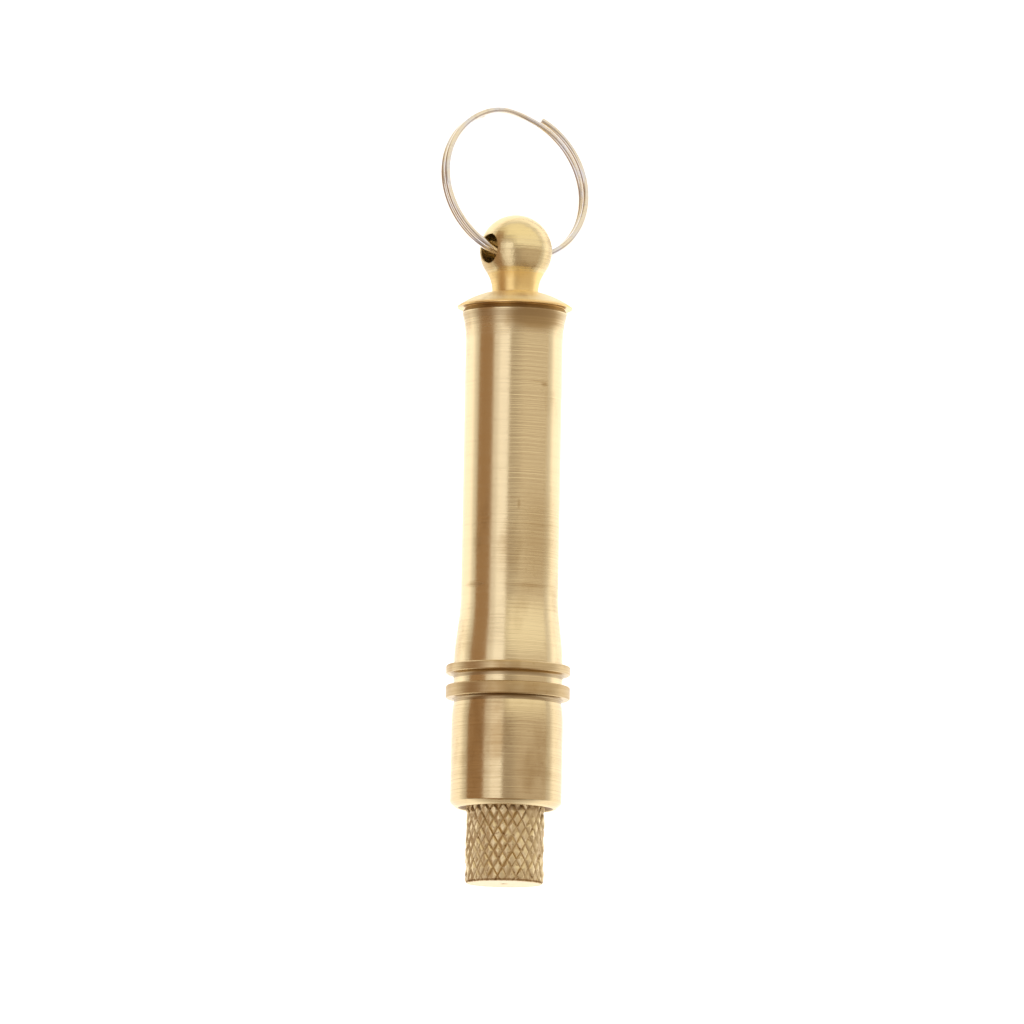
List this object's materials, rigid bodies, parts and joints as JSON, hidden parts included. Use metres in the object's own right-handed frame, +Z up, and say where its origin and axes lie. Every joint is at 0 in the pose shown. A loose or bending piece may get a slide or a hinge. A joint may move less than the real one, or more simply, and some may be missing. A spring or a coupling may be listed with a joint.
{
  "type": "string winder",
  "caption": "Pocket string winder: turned brass handle with ball finial and key ring, and a knurled spindle whose steel winding pin draws out and turns to coil a zither string",
  "frame": {"origin": "on the table the tool lies on, under its axis and under the middle of its whole length, key ring included", "axes": "+Y along the tool's axis from the knurled end to the key ring, +Z up, +X to the right seen from the knurled end"},
  "size_m": [0.0167, 0.0888, 0.014],
  "materials": {
    "ring_steel": "nickel-plated spring wire, bright",
    "cap_brass": "turned, lightly polished, unlacquered",
    "barrel_brass": "turned, fine tool lines around it, handled",
    "ferrule_brass": "turned, fine tool lines around it",
    "knurl_brass": "rolled diamond knurl, darker in the valleys",
    "pin_steel": "ground bright",
    "black_rubber": "moulded nitrile, matte",
    "washer_steel": "stamped",
    "bush_bronze": "sintered bronze, oiled",
    "pad_felt": "pressed wool felt"
  },
  "bodies": {
    "handle": {"barrel": "barrel_brass", "ferrule": "ferrule_brass", "finial_cap": "cap_brass", "thrust_washer": "washer_steel", "bearing_bush": "bush_bronze", "tip_pad": "pad_felt"},
    "key_ring": {"split_ring": "ring_steel"},
    "drag_ring": {"o_ring": "black_rubber"},
    "spindle": {"knurled_head": "knurl_brass", "winding_pin": "pin_steel"}
  },
  "joints": [
    {"name": "ring_swing", "type": "hinge", "parent": "handle", "child": "key_ring", "pos_m": [0, 0.02752, 0.007], "axis": [-0.8192, 0, 0.5736], "range_deg": [-165, 140]},
    {"name": "spindle_draw", "type": "slide", "parent": "handle", "child": "drag_ring", "axis": [0, -1, 0], "range_m": [0, 0.06]},
    {"name": "spindle_turn", "type": "hinge", "parent": "drag_ring", "child": "spindle", "pos_m": [0, -0.02908, 0.007], "axis": [0, 1, 0], "continuous": true}
  ]
}
